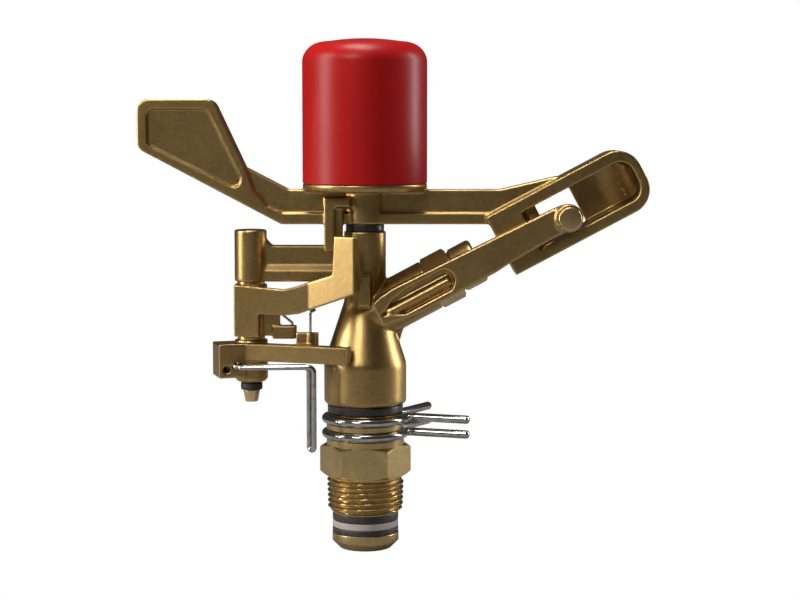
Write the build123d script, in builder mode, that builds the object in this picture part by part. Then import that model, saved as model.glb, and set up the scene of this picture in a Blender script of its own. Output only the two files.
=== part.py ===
"""Part-circle impact sprinkler with a 3/4 inch taper thread, as an assembly of separate pieces.

Millimetres. The origin is on the inlet's axis at the underside of the hexagon, +Z points up the
turning axis and +X points along the water jet's direction on the ground. The camera side is -Y.
"""

import os
from math import asin, cos, degrees, hypot, radians, sin, tan

from build123d import *

os.makedirs("parts", exist_ok=True)

# ---- fits and small clearances ----
running_gap = 0.05  # radial, shaft in bush
bearing_gap = 0.1  # radial, turning tube in nipple
free_gap = 0.3  # between neighbours that never touch
wire_hole_gap = 0.35  # radial, spring end in its hole

# ---- inlet nipple ----
hex_flats = 27.0
hex_height = 10.6
thread_major_radius = 13.22
thread_pitch = 1.814
thread_depth = 1.16
thread_taper = 1 / 32  # radius lost per unit of length
thread_crests = 6
thread_relief = 0.9
neck_radius = 13.3
neck_height = 10.8
neck_cavity_radius = 10.4
neck_cavity_depth = 16.6
nipple_tail = 1.6

# ---- turning tube and seals ----
tube_radius = 8.0
water_radius = 6.0
flange_radius = 11.4
flange_height = 5.5
flange_chamfer = 2.6
seal_radius = 11.3
seal_heights = {"lower_seal_washer": 2.0, "slip_washer": 2.3, "upper_seal_washer": 2.8}
dust_washer_height = 2.8
spring_seat_height = 1.4
bearing_spring_wire = 1.5
bearing_spring_turns = 5

# ---- body casting ----
skirt_radius = 14.05
skirt_height = 14.2
cone_height = 21.1
post_radius = 7.1
post_height = 23.8
tube_socket_depth = 16.0
body_water_radius = 5.6
jet_angle = 28.0
jet_height = 53.4
branch_radius = 8.8
branch_length = 25.4
branch_water_radius = 4.6
nozzle_socket_radius = 5.8
nozzle_socket_depth = 10.4
rib_width = 4.1
rib_height = 11.2
rib_front = 8.8

# ---- nozzle ----
nozzle_hex_radius = 9.3
nozzle_hex_length = 9.3
nozzle_tip_radius = 7.8
nozzle_tip_length = 8.5
nozzle_notch = 0.7
nozzle_exit_radius = 2.8
nozzle_exit_length = 6.0

# ---- front bridge and jet breaker ----
bridge_back = 9.6
bridge_thickness = 4.5
pocket_depth = 2.3
pocket_corner_radius = 3.3
rib_radius = 1.9
pin_x = 68.2
pin_z = 88.6
pin_boss_radius = 4.7
pin_boss_proud = 0.9
pin_head_radius = 3.9
pin_head_height = 3.2
pin_radius = 2.0
pin_tip_y = -1.5

# ---- arm ----
arm_washer_height = 2.5
arm_washer_radius = 6.5
arm_hub_radius = 6.8
arm_height = 11.6
band_height = 3.7
band_half = 5.0
web_half = 3.2
panel_depth = 1.4
panel_corner_radius = 2.5
dish_radius = 21.1
dish_height = 2.7
dish_spigot = 3.1
dish_boss_radius = 8.0
dish_boss_height = 5.6
arm_bore_radius = 5.0
bush_length = 7.0
shaft_radius = 3.5
shaft_root = 12.0

# ---- spoon, in the jet's own frame: s along the jet, v across it ----
spoon_start = 52.4
spoon_end = 106.3
spoon_bottom = -10.0
spoon_top = 12.0
spoon_bottom_bar = 3.8
spoon_top_bar = 4.1
spoon_end_wall = 3.0
spoon_back = 7.5
spoon_corner = 8.5
pocket_corner = 5.0
scoop_start = 82.5
scoop_floor = 5.3
vane_end = 68.9
vane_flat = 11.3

# ---- lug under the arm ----
lug_left = 13.6
lug_front_width = 3.55
lug_rear_width = 6.3
lug_front = 8.2
lug_back = 4.3
lug_step = 6.0
lug_drop = 11.4

# ---- spring and cap ----
cap_height = 48.7
cap_wall = 1.6
cap_shoulder = 8.0
cap_crown = 1.1
arm_spring_wire = 2.0
arm_spring_radius = 13.0
arm_spring_turns = 9
holder_radius = 16.0
holder_height = 3.0
holder_drop = 9.6
nut_flats = 12.0
nut_height = 3.5

# ---- lever bracket and pivot ----
pivot_x = -38.9
bracket_post_radius = 5.5
bracket_post_low = 66.5
bracket_post_high = 84.1
bracket_bar_high = 78.8
bracket_flange_high = 70.1
bracket_flange_slope = 2.3
bracket_web_half = 2.2
bracket_flange_half = 3.5
pin_shank_radius = 2.9
pin_tip_radius = 2.15
pin_tip_low = 25.2
pin_groove_low = 29.3
pin_groove_radius = 2.2
pin_bracket_depth = 9.0
ring_radius = 3.7
ring_height = 2.6
pivot_washer_radius = 4.7
lever_gap = 0.9

# ---- reversing lever ----
reversing_hub_radius = 5.5
reversing_hub_low = 48.0
lug_plate_height = 4.3

# ---- trip lever ----
trip_bar_high = 45.7
trip_bar_height = 5.8
trip_block_height = 11.6
trip_hub_radius = 5.6
trip_hub_low = 32.2
trip_hub_high = 46.6
trip_yaw = 19.8
trip_bar_thickness = 5.2

# ---- wires ----
trip_wire_radius = 0.875
trip_wire_bottom = 10.4
toggle_wire_radius = 0.425
collar_wire_radius = 1.45
collar_radius = 13.45
collar_steps = 8
collar_start_angle = 52.0
collar_step_angle = 38.0
collar_heights = {"lower_collar": 14.4, "upper_collar": 19.5}

# ---- levels that follow ----
thread_low = -(thread_relief + thread_crests * thread_pitch)
nipple_low = thread_low - nipple_tail + 0.6
neck_high = hex_height + neck_height
cavity_low = neck_high - neck_cavity_depth
seal_low = nipple_low - sum(seal_heights.values())
flange_low = seal_low - flange_height
skirt_low = neck_high + free_gap + dust_washer_height
skirt_high = skirt_low + skirt_height
cone_high = skirt_high + cone_height
post_high = cone_high + post_height
hub_low = post_high + arm_washer_height
arm_high = hub_low + arm_height
dish_low = hub_low + 11.0
dish_high = dish_low + dish_height
cap_high = dish_high + cap_height
boss_high = dish_high + dish_boss_height
holder_high = cap_high - holder_drop + holder_height
shaft_high = holder_high + nut_height + 0.6
reversing_hub_high = bracket_post_low - lever_gap
bush_radius = shaft_radius + running_gap

# ---- planes ----
jet_direction = Vector(cos(radians(jet_angle)), 0, sin(radians(jet_angle)))
jet_across = Vector(-sin(radians(jet_angle)), 0, cos(radians(jet_angle)))
jet_origin = Vector(0, 0, jet_height)
jet_axis = Axis(jet_origin, jet_direction)
jet_face = Plane(jet_origin, x_dir=jet_direction, z_dir=(0, -1, 0))
jet_plan = Plane(jet_origin, x_dir=jet_direction, z_dir=jet_across)


def jet_section(s):
    """The plane across the jet at the distance s from the turning axis."""
    return Plane(jet_origin + jet_direction * s, x_dir=(0, 1, 0), z_dir=jet_direction)


def front(y):
    """The plane that faces the front (-Y) at the given Y; its x is X and its y is Z."""
    return Plane.XZ.offset(-y)


def near(vertex, places):
    """Whether a sketch's vertex stands at one of the given (x, z) places."""
    return any(hypot(vertex.X - x, vertex.Y - z) < 0.01 for x, z in places)


def outline(points, y, radius=None, rounded=()):
    """A flat outline in X and Z that stands at y and faces the front, some corners rounded."""
    with BuildSketch(front(y)) as face:
        with BuildLine():
            Polyline(*points, close=True)
        make_face()
        if radius:
            fillet([v for v in face.vertices() if near(v, rounded)], radius)
    return face.sketch


def save(piece, name):
    """Label a finished piece and write its STEP file."""
    piece.part.label = name
    export_step(piece.part, f"parts/{name}.step")


def tube_piece(outer, inner, low, height):
    """A plain ring about the turning axis."""
    with BuildPart() as piece:
        with BuildSketch(Plane.XY.offset(low)):
            Circle(outer)
            Circle(inner, mode=Mode.SUBTRACT)
        extrude(amount=height)
    return piece


def wire_piece(points, bends, wire_radius):
    """A wire through the given points, its bends rounded by tangent arcs."""
    with BuildPart() as piece:
        with BuildLine() as path:
            FilletPolyline(*points, radius=bends)
        with BuildSketch(Plane(path.line @ 0, z_dir=path.line % 0)):
            Circle(wire_radius)
        sweep()
    return piece


def spring_piece(mean_radius, wire_radius, low, high, turns):
    """A helical spring between two levels of the wire's centre line."""
    with BuildPart() as piece:
        with BuildLine() as coil:
            Helix(pitch=(high - low) / turns, height=high - low, radius=mean_radius, center=(0, 0, low))
        with BuildSketch(Plane(coil.line @ 0, z_dir=coil.line % 0)):
            Circle(wire_radius)
        sweep(is_frenet=True)
    return piece


# =================================================================== inlet
collar_groove = collar_wire_radius + 0.2

thread_profile = [(thread_major_radius - thread_depth, -thread_relief)]
for crest in range(thread_crests):
    crest_z = -thread_relief - (crest + 0.5) * thread_pitch
    root_z = crest_z - 0.5 * thread_pitch
    crest_radius = thread_major_radius + thread_taper * crest_z
    thread_profile += [
        (crest_radius, crest_z + 0.15 * thread_pitch),
        (crest_radius, crest_z - 0.15 * thread_pitch),
        (crest_radius - thread_depth, root_z),
    ]

with BuildPart() as inlet_nipple:
    with BuildSketch():
        RegularPolygon(radius=hex_flats / 2, side_count=6, major_radius=False)
    extrude(amount=hex_height)
    with BuildSketch(Plane.XZ):
        with BuildLine():
            hex_corner = hex_flats / 2 / cos(radians(30))
            Polyline(
                (0, 0),
                (hex_flats / 2 + 0.2, 0),
                (hex_corner + 0.1, 1.0),
                (hex_corner + 0.1, hex_height - 1.0),
                (hex_flats / 2 + 0.2, hex_height),
                (0, hex_height),
                close=True,
            )
        make_face()
    revolve(axis=Axis.Z, mode=Mode.INTERSECT)
    with BuildSketch(Plane.XZ):
        with BuildLine():
            Polyline(
                (0, 0),
                (thread_major_radius - thread_depth, 0),
                *thread_profile,
                (seal_radius, thread_low - 0.6),
                (seal_radius, nipple_low),
                (0, nipple_low),
                close=True,
            )
        make_face()
        with BuildLine():
            Polyline(
                (0, hex_height),
                (neck_radius, hex_height),
                (neck_radius, neck_high - 0.4),
                (neck_radius - 0.4, neck_high),
                (0, neck_high),
                close=True,
            )
        make_face()
    revolve(axis=Axis.Z)
    with BuildSketch(Plane.XZ):
        for level in collar_heights.values():
            with Locations((collar_radius, level)):
                Circle(collar_groove)
    revolve(axis=Axis.Z, mode=Mode.SUBTRACT)
    with BuildSketch(Plane.XY.offset(cavity_low)):
        Circle(neck_cavity_radius)
    extrude(amount=neck_cavity_depth, mode=Mode.SUBTRACT)
    with BuildSketch(Plane.XY.offset(nipple_low)):
        Circle(tube_radius + bearing_gap)
    extrude(amount=cavity_low - nipple_low, mode=Mode.SUBTRACT)
save(inlet_nipple, "inlet_nipple")

seal_level = seal_low
for washer_name, washer_height in seal_heights.items():
    washer = tube_piece(seal_radius, tube_radius + free_gap, seal_level, washer_height)
    save(washer, washer_name)
    seal_level += washer_height

dust_washer = tube_piece(neck_radius - 0.4, tube_radius + free_gap, neck_high + free_gap, dust_washer_height)
save(dust_washer, "dust_washer")

seat_low = neck_high + free_gap - spring_seat_height
spring_seat_washer = tube_piece(
    neck_cavity_radius - free_gap, tube_radius + 0.2, seat_low, spring_seat_height
)
save(spring_seat_washer, "spring_seat_washer")

bearing_coil_radius = (tube_radius + neck_cavity_radius) / 2
bearing_spring = spring_piece(
    bearing_coil_radius,
    bearing_spring_wire / 2,
    cavity_low + bearing_spring_wire / 2 + 0.1,
    seat_low - bearing_spring_wire / 2 - 0.1,
    bearing_spring_turns,
)
save(bearing_spring, "bearing_spring")

# =================================================================== turning tube
with BuildPart() as bearing_tube:
    with BuildSketch(Plane.XZ):
        with BuildLine():
            Polyline(
                (water_radius, flange_low),
                (flange_radius - flange_chamfer, flange_low),
                (flange_radius, flange_low + flange_chamfer),
                (flange_radius, seal_low),
                (tube_radius, seal_low),
                (tube_radius, skirt_low + tube_socket_depth),
                (water_radius, skirt_low + tube_socket_depth),
                close=True,
            )
        make_face()
    revolve(axis=Axis.Z)
save(bearing_tube, "bearing_tube")


# =================================================================== body casting
bridge_top = [(2.5, 59.7), (5.2, 62.4), (9.2, 65.1), (11.9, 66.5), (62.1, 91.3), (66.0, 93.0)]
bridge_bottom = [(68.0, 84.3), (63.5, 82.2), (48.9, 73.8), (43.9, 70.5), (18.6, 56.8), (6.2, 52.6)]
bridge_root = [(3.0, 59.7), (5.2, 61.6), (9.2, 64.2), (15.0, 67.0), (20.4, 59.0), (17.6, 57.4), (6.8, 53.2)]
bridge_pocket = [(5.6, 56.0), (9.4, 61.2), (13.6, 64.7), (28.0, 72.5), (31.3, 66.0), (13.6, 56.6)]
bridge_front = bridge_back + bridge_thickness
socket_start = branch_length - nozzle_socket_depth

knees = ((skirt_radius, skirt_high), (post_radius, cone_high))

with BuildPart() as sprinkler_body:
    with BuildSketch(Plane.XZ) as body_profile:
        with BuildLine():
            Polyline(
                (0, skirt_low),
                (skirt_radius, skirt_low),
                (skirt_radius, skirt_high),
                (post_radius, cone_high),
                (post_radius, post_high),
                (0, post_high),
                close=True,
            )
        make_face()
        fillet([v for v in body_profile.vertices() if near(v, knees)], 7.0)
    revolve(axis=Axis.Z)
    chamfer(edges().filter_by(GeomType.CIRCLE).sort_by(Axis.Z)[0], 1.0)
    # inclined branch that carries the nozzle
    with BuildSketch(jet_section(0)):
        Circle(branch_radius)
    extrude(amount=branch_length)
    # gusset under the branch
    with BuildSketch(front(1.5)):
        with BuildLine():
            Polyline(
                (8, skirt_high + 4),
                (11.5, skirt_high + 6.5),
                (13.5, jet_height + 13.5 * tan(radians(jet_angle)) - 9),
                (8, jet_height),
                close=True,
            )
        make_face()
    extrude(amount=3)
    # bridge in front of nozzle and spoon
    extrude(outline(bridge_top + bridge_bottom, -bridge_back), amount=bridge_thickness)
    # root of the bridge, back into the branch
    extrude(outline(bridge_root, 0), amount=bridge_back)
    # boss for the jet breaker pin
    with BuildSketch(front(-bridge_back)):
        with Locations((pin_x, pin_z)):
            Circle(pin_boss_radius)
    extrude(amount=bridge_thickness + pin_boss_proud)
    # pocket in the bridge with its half-round rib
    pocket = outline(bridge_pocket, -bridge_front, pocket_corner_radius, bridge_pocket[3:5])
    extrude(pocket, amount=-pocket_depth, mode=Mode.SUBTRACT)
    with BuildSketch(jet_section(8.0)):
        with Locations((-(bridge_front - pocket_depth), -0.8)):
            Circle(rib_radius)
    extrude(amount=24.0)
    # stop rib for the reversing lever's tooth
    with BuildSketch(front(0)):
        with Locations((0, cone_high + 4.2)):
            Rectangle(rib_width, rib_height)
    extrude(amount=rib_front)
    # bracket for the two levers
    with BuildSketch(Plane.XY.offset(bracket_post_low)):
        with Locations((pivot_x, 0)):
            Circle(bracket_post_radius)
    extrude(amount=bracket_post_high - bracket_post_low)
    with BuildSketch(front(bracket_web_half)):
        with BuildLine():
            Polyline(
                (pivot_x, bracket_post_low),
                (-post_radius + 2, bracket_post_low),
                (-post_radius + 2, bracket_bar_high),
                (pivot_x + bracket_post_radius + 1.8, bracket_bar_high),
                (pivot_x + bracket_post_radius, bracket_bar_high + 2.0),
                (pivot_x, bracket_bar_high + 2.0),
                close=True,
            )
        make_face()
    extrude(amount=2 * bracket_web_half)
    with BuildSketch(Plane.YZ.offset(pivot_x)):
        with BuildLine():
            Polyline(
                (-bracket_flange_half, bracket_post_low),
                (bracket_flange_half, bracket_post_low),
                (bracket_flange_half, bracket_flange_high),
                (bracket_web_half, bracket_flange_high + bracket_flange_slope),
                (-bracket_web_half, bracket_flange_high + bracket_flange_slope),
                (-bracket_flange_half, bracket_flange_high),
                close=True,
            )
        make_face()
    extrude(amount=-pivot_x - post_radius + 2)
    # waterways, shaft seat and pin seats
    with BuildSketch(Plane.XY.offset(skirt_low)):
        Circle(tube_radius)
    extrude(amount=tube_socket_depth, mode=Mode.SUBTRACT)
    with BuildSketch(Plane.XY.offset(skirt_low)):
        Circle(body_water_radius)
    extrude(amount=jet_height + 2 - skirt_low, mode=Mode.SUBTRACT)
    with BuildSketch(jet_section(0)):
        Circle(branch_water_radius)
    extrude(amount=branch_length, mode=Mode.SUBTRACT)
    with BuildSketch(jet_section(socket_start)):
        Circle(nozzle_socket_radius)
    extrude(amount=nozzle_socket_depth, mode=Mode.SUBTRACT)
    with BuildSketch(Plane.XY.offset(post_high)):
        Circle(shaft_radius)
    extrude(amount=-shaft_root, mode=Mode.SUBTRACT)
    with BuildSketch(Plane.XY.offset(bracket_post_low)):
        with Locations((pivot_x, 0)):
            Circle(pin_shank_radius)
    extrude(amount=pin_bracket_depth, mode=Mode.SUBTRACT)
    with BuildSketch(front(0)):
        with Locations((pin_x, pin_z)):
            Circle(pin_radius + running_gap)
    extrude(amount=bridge_front + pin_boss_proud, mode=Mode.SUBTRACT)
save(sprinkler_body, "sprinkler_body")

# =================================================================== nozzle and vane
nozzle_hex_end = branch_length + nozzle_hex_length
nozzle_end = nozzle_hex_end + nozzle_tip_length + 0.5

with BuildPart() as nozzle:
    with BuildSketch(jet_section(branch_length)):
        RegularPolygon(radius=nozzle_hex_radius, side_count=6, rotation=90)
    extrude(amount=nozzle_hex_length)
    with BuildSketch(jet_face):
        with BuildLine():
            Polyline(
                (socket_start + 0.4, 0),
                (socket_start + 0.4, nozzle_socket_radius),
                (branch_length, nozzle_socket_radius),
                (branch_length, nozzle_tip_radius - nozzle_notch),
                (nozzle_hex_end + 0.5, nozzle_tip_radius - nozzle_notch),
                (nozzle_hex_end + 0.5 + nozzle_notch, nozzle_tip_radius),
                (nozzle_end - 1.5, nozzle_tip_radius),
                (nozzle_end - 0.4, nozzle_tip_radius - 0.5),
                (nozzle_end, nozzle_tip_radius - 1.6),
                (nozzle_end, 0),
                close=True,
            )
        make_face()
    revolve(axis=jet_axis)
    with BuildSketch(jet_face):
        with BuildLine():
            Polyline(
                (socket_start, 0),
                (socket_start, branch_water_radius),
                (nozzle_end - nozzle_exit_length, nozzle_exit_radius),
                (nozzle_end + 1, nozzle_exit_radius),
                (nozzle_end + 1, 0),
                close=True,
            )
        make_face()
    revolve(axis=jet_axis, mode=Mode.SUBTRACT)
save(nozzle, "nozzle")

vane_thickness = 0.8
with BuildPart() as stream_straightener:
    with BuildSketch(jet_section(socket_start - 8.5)):
        Rectangle(2 * branch_water_radius - 0.4, vane_thickness)
        Rectangle(vane_thickness, 2 * branch_water_radius - 0.4)
    extrude(amount=8.0)
save(stream_straightener, "stream_straightener")

# =================================================================== jet breaker pin
pin_seat = bridge_front + pin_boss_proud
with BuildPart() as jet_breaker_pin:
    with BuildSketch(front(-pin_seat)):
        with Locations((pin_x, pin_z)):
            Circle(pin_head_radius)
    extrude(amount=pin_head_height)
    chamfer(edges().group_by(Axis.Y)[0], 0.35)
    with BuildSketch(front(pin_tip_y)):
        with Locations((pin_x, pin_z)):
            Circle(pin_radius)
    extrude(amount=pin_seat + pin_tip_y)
save(jet_breaker_pin, "jet_breaker_pin")

# =================================================================== arm casting
arm_slope = tan(radians(jet_angle))
paddle_left = -76.5
paddle_top = 128.1
paddle_right = -50.9
web_start = -39.6
web_end = -25.6
band_top = hub_low + band_height


def paddle_low(x):
    """Lower edge of the sloping tail, as a height at x."""
    return 111.6 - 0.528 * (x - paddle_left)


def jet_line(x, v):
    """Height at x of the line that runs along the jet at the distance v across it."""
    return jet_height + x * arm_slope + v / cos(radians(jet_angle))


tail_knee = paddle_left + (111.6 - hub_low) / 0.528
window_low = spoon_bottom + spoon_bottom_bar
window_high = spoon_top - spoon_top_bar
spoon_front = bridge_back - free_gap

with BuildPart() as scoop_pocket:
    with BuildSketch(jet_plan.offset(window_low)):
        with BuildLine():
            floor_turn = scoop_start + 8
            end_wall = spoon_end - spoon_end_wall
            Line((vane_end, -spoon_front - 1), (vane_end, scoop_floor))
            Line((vane_end, scoop_floor), (floor_turn, scoop_floor))
            TangentArc((floor_turn, scoop_floor), (end_wall, scoop_floor - 10.0), tangent=(1, 0))
            Line((end_wall, scoop_floor - 10.0), (end_wall, -spoon_front - 1))
            Line((end_wall, -spoon_front - 1), (vane_end, -spoon_front - 1))
        make_face()
    extrude(amount=window_high - window_low)
    with BuildSketch(jet_face.offset(-spoon_back)) as pocket_outline:
        with Locations(((vane_end + end_wall) / 2, (window_low + window_high) / 2)):
            Rectangle(end_wall - vane_end, window_high - window_low)
        fillet(pocket_outline.vertices().sort_by(Axis((0, 0, 0), jet_direction))[-2:], pocket_corner)
    extrude(amount=spoon_back + spoon_front + 2, mode=Mode.INTERSECT)

with BuildPart() as impact_arm:
    # tail: paddle with its lower band, then the thinner web above the band
    left_outline = [(-4, hub_low), (tail_knee, hub_low), (paddle_left, paddle_low(paddle_left))]
    left_outline += [(paddle_left, paddle_top), (paddle_right, paddle_top)]
    band_edge = [(-40.2, 105.2), (-37.4, 97.4), (-33.0, band_top + 2.4), (-27.5, band_top), (-4, band_top)]
    extrude(outline(left_outline + band_edge, band_half, 4.0, left_outline[2:]), amount=2 * band_half)
    web_outline = [(-4, hub_low + 1), (tail_knee, hub_low + 1), (-52, 100), (web_start, 105.0)]
    web_outline += [(web_end, arm_high), (-4, arm_high)]
    extrude(outline(web_outline, web_half), amount=2 * web_half)
    # jet side: the bar that carries the spoon
    bar_knee = (window_high / cos(radians(jet_angle)) + jet_height - hub_low) / -arm_slope
    bar_outline = [(4, hub_low), (bar_knee, hub_low), (65.4, jet_line(65.4, window_high))]
    bar_outline += [(65.4, 102.3), (45.6, arm_high), (4, arm_high)]
    extrude(outline(bar_outline, web_half), amount=2 * web_half)
    band_outline = [(4, hub_low), (bar_knee, hub_low), (bar_knee + 4, jet_line(bar_knee + 4, window_high))]
    band_outline += [(bar_knee + 4, band_top), (4, band_top)]
    extrude(outline(band_outline, band_half), amount=2 * band_half)
    # recessed panel on both faces of the paddle
    panel_outline = [(-73.2, 124.8), (-52.9, 124.8), (-38.6, 95.6), (-73.2, 113.0)]
    for face_y in (-band_half, band_half - panel_depth):
        panel = outline(panel_outline, face_y + panel_depth, panel_corner_radius, panel_outline)
        extrude(panel, amount=panel_depth, mode=Mode.SUBTRACT)
    # hub and dish
    with BuildSketch(Plane.XZ):
        with BuildLine():
            Polyline(
                (0, hub_low),
                (arm_hub_radius, hub_low),
                (arm_hub_radius, dish_low),
                (dish_radius - 1.5, dish_low),
                (dish_radius - 0.4, dish_low + 0.5),
                (dish_radius, dish_low + 1.6),
                (dish_radius, dish_high),
                (dish_radius - cap_wall - 0.2, dish_high),
                (dish_radius - cap_wall - 0.2, dish_high + dish_spigot),
                (dish_radius - cap_wall - 2.0, dish_high + dish_spigot),
                (dish_radius - cap_wall - 2.0, dish_high),
                (dish_boss_radius, dish_high),
                (dish_boss_radius, boss_high),
                (0, boss_high),
                close=True,
            )
        make_face()
    revolve(axis=Axis.Z)
    # spoon frame with its open window, its first blade and the scoop
    with BuildSketch(jet_face.offset(-spoon_back)) as spoon_outline:
        with Locations(((spoon_start + spoon_end) / 2, (spoon_bottom + spoon_top) / 2)):
            Rectangle(spoon_end - spoon_start, spoon_top - spoon_bottom)
        fillet(spoon_outline.vertices().sort_by(Axis((0, 0, 0), jet_direction))[-2:], spoon_corner)
    extrude(amount=spoon_back + spoon_front)
    with BuildSketch(jet_face.offset(-spoon_back)):
        with Locations(((spoon_start + scoop_start) / 2 - 1, (window_low + window_high) / 2)):
            Rectangle(scoop_start - spoon_start + 2, window_high - window_low)
    extrude(amount=spoon_back + spoon_front, mode=Mode.SUBTRACT)
    add(scoop_pocket.part, mode=Mode.SUBTRACT)
    with BuildSketch(jet_plan.offset(window_low)):
        with BuildLine():
            Polyline(
                (spoon_start, -spoon_front),
                (spoon_start + vane_flat, -spoon_front),
                (spoon_start + vane_flat + 1.2, 2.6 - spoon_front),
                (vane_end, 3.4 - spoon_front),
                (vane_end, 5.5 - spoon_front),
                (spoon_start + vane_flat - 1, 5.5 - spoon_front),
                (spoon_start, 2.2 - spoon_front),
                close=True,
            )
        make_face()
    extrude(amount=window_high - window_low)
    # lug that strikes the reversing lever's tooth
    lug_top = arm_high - 2.6
    with BuildSketch(Plane.XY.offset(lug_top - 18.0)):
        with BuildLine():
            Polyline(
                (-lug_left, -lug_front),
                (-lug_left + lug_front_width, -lug_front),
                (-lug_left + lug_front_width, -lug_step),
                (-lug_left + lug_rear_width, -lug_step),
                (-lug_left + lug_rear_width, -lug_back),
                (-lug_left, -lug_back),
                close=True,
            )
        make_face()
    extrude(amount=18.0)
    with BuildSketch(Plane.XY.offset(lug_top - 3.2)):
        with BuildLine():
            Polyline((-lug_left, -lug_front), (-5.1, -lug_front), (-3.0, -3.0), (-lug_left, -3.0), close=True)
        make_face()
    extrude(amount=3.2)
    # bore for the bushes
    with BuildSketch(Plane.XY.offset(hub_low)):
        Circle(arm_bore_radius)
    extrude(amount=boss_high - hub_low, mode=Mode.SUBTRACT)
save(impact_arm, "impact_arm")

lower_arm_bush = tube_piece(arm_bore_radius, bush_radius, hub_low, bush_length)
save(lower_arm_bush, "lower_arm_bush")
upper_arm_bush = tube_piece(arm_bore_radius, bush_radius, boss_high - bush_length, bush_length)
save(upper_arm_bush, "upper_arm_bush")
arm_washer = tube_piece(arm_washer_radius, shaft_radius, post_high, arm_washer_height)
save(arm_washer, "arm_washer")

# =================================================================== shaft, spring and cap
with BuildPart() as arm_shaft:
    with BuildSketch(Plane.XY.offset(post_high - shaft_root)):
        Circle(shaft_radius)
    extrude(amount=shaft_high - post_high + shaft_root)
    chamfer(edges().sort_by(Axis.Z)[-1], 0.5)
save(arm_shaft, "arm_shaft")

arm_spring = spring_piece(
    arm_spring_radius,
    arm_spring_wire / 2,
    dish_high + arm_spring_wire / 2 + free_gap,
    holder_high - holder_height - arm_spring_wire / 2 - free_gap,
    arm_spring_turns,
)
save(arm_spring, "arm_spring")

with BuildPart() as spring_holder:
    with BuildSketch(Plane.XY.offset(holder_high - holder_height)):
        Circle(holder_radius)
        with PolarLocations(holder_radius, 12):
            Circle(1.2, mode=Mode.SUBTRACT)
    extrude(amount=holder_height)
    with BuildSketch(Plane.XY.offset(holder_high - 3 * holder_height)):
        Circle(shaft_radius + 3.0)
    extrude(amount=3 * holder_height)
    with BuildSketch(Plane.XY.offset(holder_high)):
        Circle(shaft_radius)
    extrude(amount=-3 * holder_height, mode=Mode.SUBTRACT)
save(spring_holder, "spring_holder")

with BuildPart() as shaft_nut:
    with BuildSketch(Plane.XY.offset(holder_high)):
        RegularPolygon(radius=nut_flats / 2, side_count=6, major_radius=False)
        Circle(shaft_radius, mode=Mode.SUBTRACT)
    extrude(amount=nut_height)
save(shaft_nut, "shaft_nut")


def cap_profile(radius, low, high, shoulder):
    """The closed half outline of the cap's outer or inner surface."""
    flat = radius - shoulder
    crown_radius = (flat**2 + cap_crown**2) / (2 * cap_crown)
    crown_angle = degrees(asin(flat / crown_radius))
    with BuildSketch(Plane.XZ) as profile:
        with BuildLine():
            Polyline((0, low), (radius, low), (radius, high - shoulder))
            TangentArc((radius, high - shoulder), (flat, high - cap_crown), tangent=(0, 1))
            CenterArc((0, high - crown_radius), crown_radius, 90 - crown_angle, crown_angle)
            Line((0, high), (0, low))
        make_face()
    return profile.sketch


with BuildPart() as spring_cap:
    revolve(cap_profile(dish_radius, dish_high, cap_high, cap_shoulder), axis=Axis.Z)
    hollow = cap_profile(dish_radius - cap_wall, dish_high, cap_high - cap_wall, cap_shoulder - cap_wall)
    revolve(hollow, axis=Axis.Z, mode=Mode.SUBTRACT)
save(spring_cap, "spring_cap")

# =================================================================== pivot pin and its washers
with BuildPart() as pivot_pin:
    with BuildSketch(Plane.XZ):
        with BuildLine():
            ring_high = pin_groove_low + ring_height
            Polyline(
                (pivot_x, pin_tip_low),
                (pivot_x + pin_tip_radius - 0.3, pin_tip_low),
                (pivot_x + pin_tip_radius, pin_tip_low + 0.3),
                (pivot_x + pin_shank_radius, pin_groove_low),
                (pivot_x + pin_groove_radius, pin_groove_low),
                (pivot_x + pin_groove_radius, ring_high),
                (pivot_x + pin_shank_radius, ring_high),
                (pivot_x + pin_shank_radius, bracket_post_low + pin_bracket_depth),
                (pivot_x, bracket_post_low + pin_bracket_depth),
                close=True,
            )
        make_face()
    revolve(axis=Axis((pivot_x, 0, 0), (0, 0, 1)))
save(pivot_pin, "pivot_pin")


def pivot_ring(outer, inner, low, high):
    """A ring about the levers' pivot."""
    with BuildPart() as piece:
        with BuildSketch(Plane.XY.offset(low)):
            with Locations((pivot_x, 0)):
                Circle(outer)
                Circle(inner, mode=Mode.SUBTRACT)
        extrude(amount=high - low)
    return piece


lever_bore = pin_shank_radius + running_gap
upper_pivot_washer = pivot_ring(pivot_washer_radius, lever_bore, reversing_hub_high, bracket_post_low)
save(upper_pivot_washer, "upper_pivot_washer")
lower_pivot_washer = pivot_ring(pivot_washer_radius, lever_bore, trip_hub_high, reversing_hub_low)
save(lower_pivot_washer, "lower_pivot_washer")
pivot_retaining_ring = pivot_ring(ring_radius, pin_groove_radius, pin_groove_low, ring_high)
save(pivot_retaining_ring, "pivot_retaining_ring")

# =================================================================== reversing lever
lever_front = [(-44.4, -5.4), (-19.0, -11.6), (-3.2, -21.6)]
lever_back = [(-1.3, -18.6), (-17.1, -8.6), (-33.4, -4.6), (-33.4, 0.0), (-44.4, 0.0)]
lever_side = [(-44.4, reversing_hub_low), (-35.8, reversing_hub_low), (-35.8, 55.8), (-27.1, 55.6)]
lever_side += [(-21.9, 56.3), (-17.5, 58.0), (-7.6, 61.9), (-1.0, 64.9), (-2.1, 82.8), (-10.0, 82.8)]
lever_side += [(-10.7, 69.9), (-23.6, 65.2), (-27.2, 64.3), (-36.0, 65.0), (-44.4, reversing_hub_high)]
toggle_eye = (-24.8, -1.0)

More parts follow.
